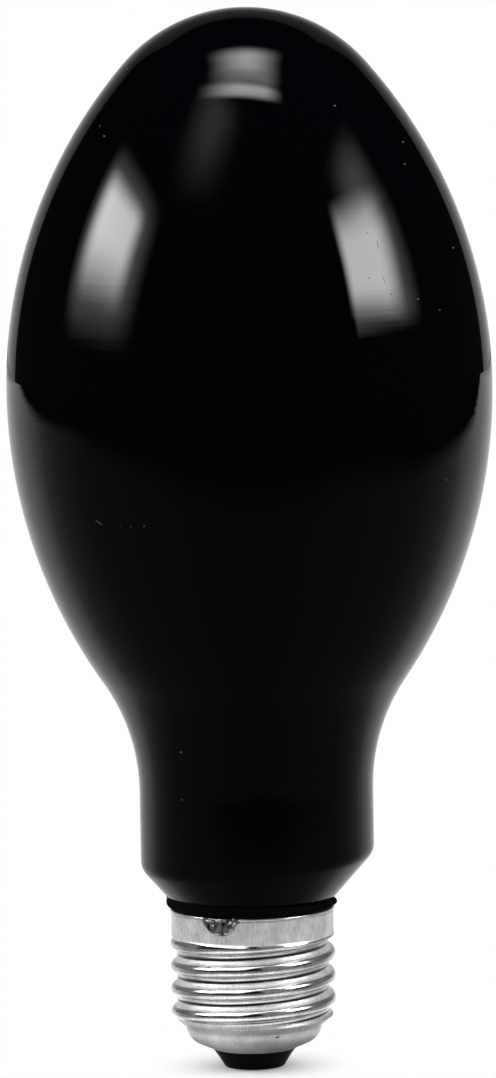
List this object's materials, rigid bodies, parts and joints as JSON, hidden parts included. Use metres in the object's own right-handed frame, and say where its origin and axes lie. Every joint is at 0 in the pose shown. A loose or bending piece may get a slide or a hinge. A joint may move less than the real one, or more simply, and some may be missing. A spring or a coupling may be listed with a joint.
{
  "type": "black light bulb",
  "caption": "Elliptical black glass ultraviolet lamp bulb on a straight neck, with a black cement bead, a threaded nickel screw cap, a black insulator and a centre contact.",
  "frame": {"origin": "centre of the contact's bottom face, on the screw cap's axis", "axes": "+Z along the screw cap's axis up to the top of the glass; -Y towards the side that the picture shows"},
  "size_m": [0.0766, 0.0766, 0.1683],
  "materials": {
    "black_glass": "clear gloss, deep violet-black filter glass",
    "cement": "matt black baked cement",
    "nickel_shell": "nickel-plated rolled sheet, satin on the band",
    "lead_wire": "bare tinned wire",
    "solder": "rough dull solder",
    "insulator_glass": "gloss black pressed glass",
    "eyelet_brass": "plain brass"
  },
  "bodies": {
    "root": {"glass_bulb": "black_glass", "cap_cement": "cement", "screw_shell": "nickel_shell", "side_lead_wire": "lead_wire", "centre_lead_wire": "lead_wire", "side_solder": "solder", "contact_solder": "solder", "cap_insulator": "insulator_glass", "contact_eyelet": "eyelet_brass"}
  },
  "joints": []
}
